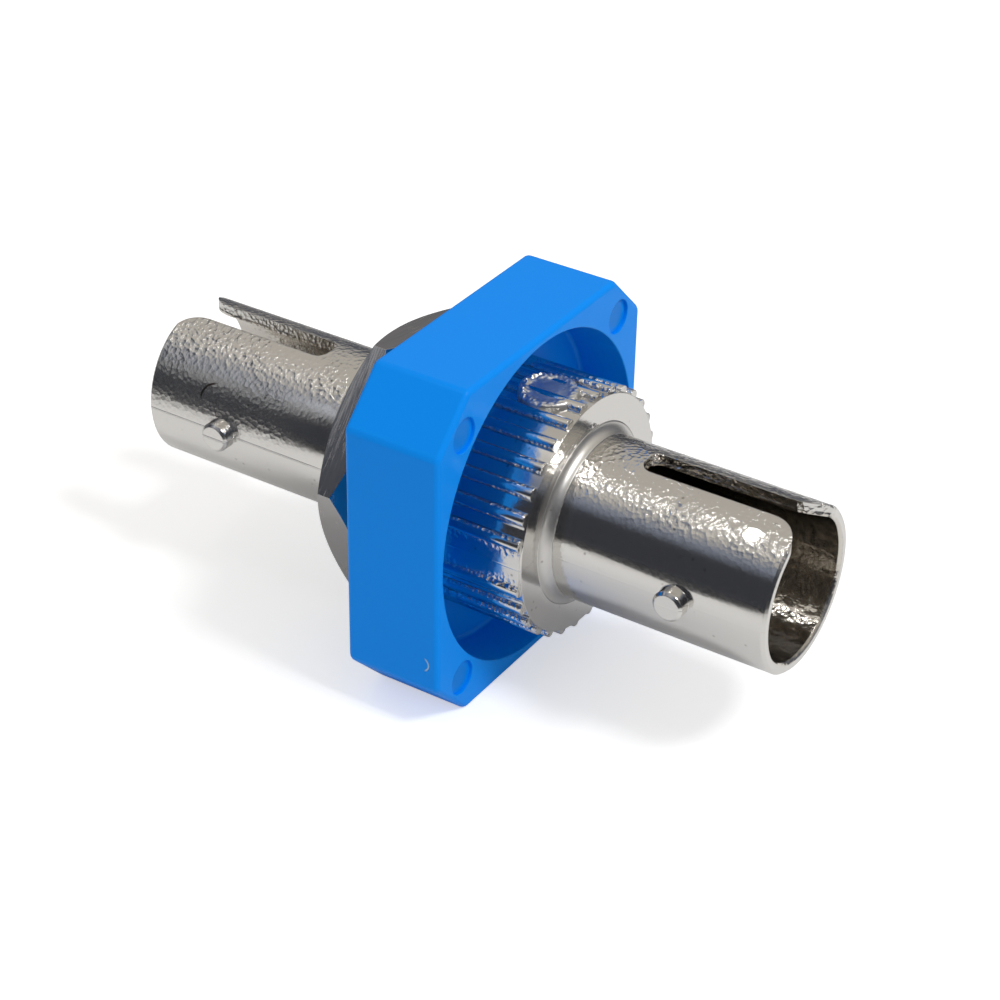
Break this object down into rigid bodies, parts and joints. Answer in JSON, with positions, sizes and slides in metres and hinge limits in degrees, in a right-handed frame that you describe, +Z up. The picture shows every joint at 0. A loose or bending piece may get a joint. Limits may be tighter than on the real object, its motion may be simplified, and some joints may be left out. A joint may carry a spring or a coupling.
{
  "type": "simplex fibre coupler",
  "caption": "Simplex fibre coupler: slotted bayonet barrels back to back on a splined plated casting, held in a square plastic carrier by a hex nut.",
  "frame": {"origin": "on the coupler's axis at the optical mating plane, halfway between the two mouths", "axes": "+X along the axis towards the splined collar's barrel, +Z up through the two keyways"},
  "size_m": [0.03, 0.0152, 0.0152],
  "materials": {
    "plated_casting": "nickel plate over a lightly textured zinc casting",
    "blue_plastic": "semi-gloss moulded plastic",
    "plated_nut": "nickel plate over turned brass",
    "plated_washer": "nickel-plated spring steel",
    "plated_housing": "nickel plate over turned brass",
    "sleeve_ceramic": "ground white ceramic"
  },
  "bodies": {
    "root": {"body_casting": "plated_casting", "carrier_block": "blue_plastic", "hex_nut": "plated_nut", "lock_washer": "plated_washer", "front_sleeve_housing": "plated_housing", "rear_sleeve_housing": "plated_housing", "alignment_sleeve": "sleeve_ceramic"}
  },
  "joints": []
}
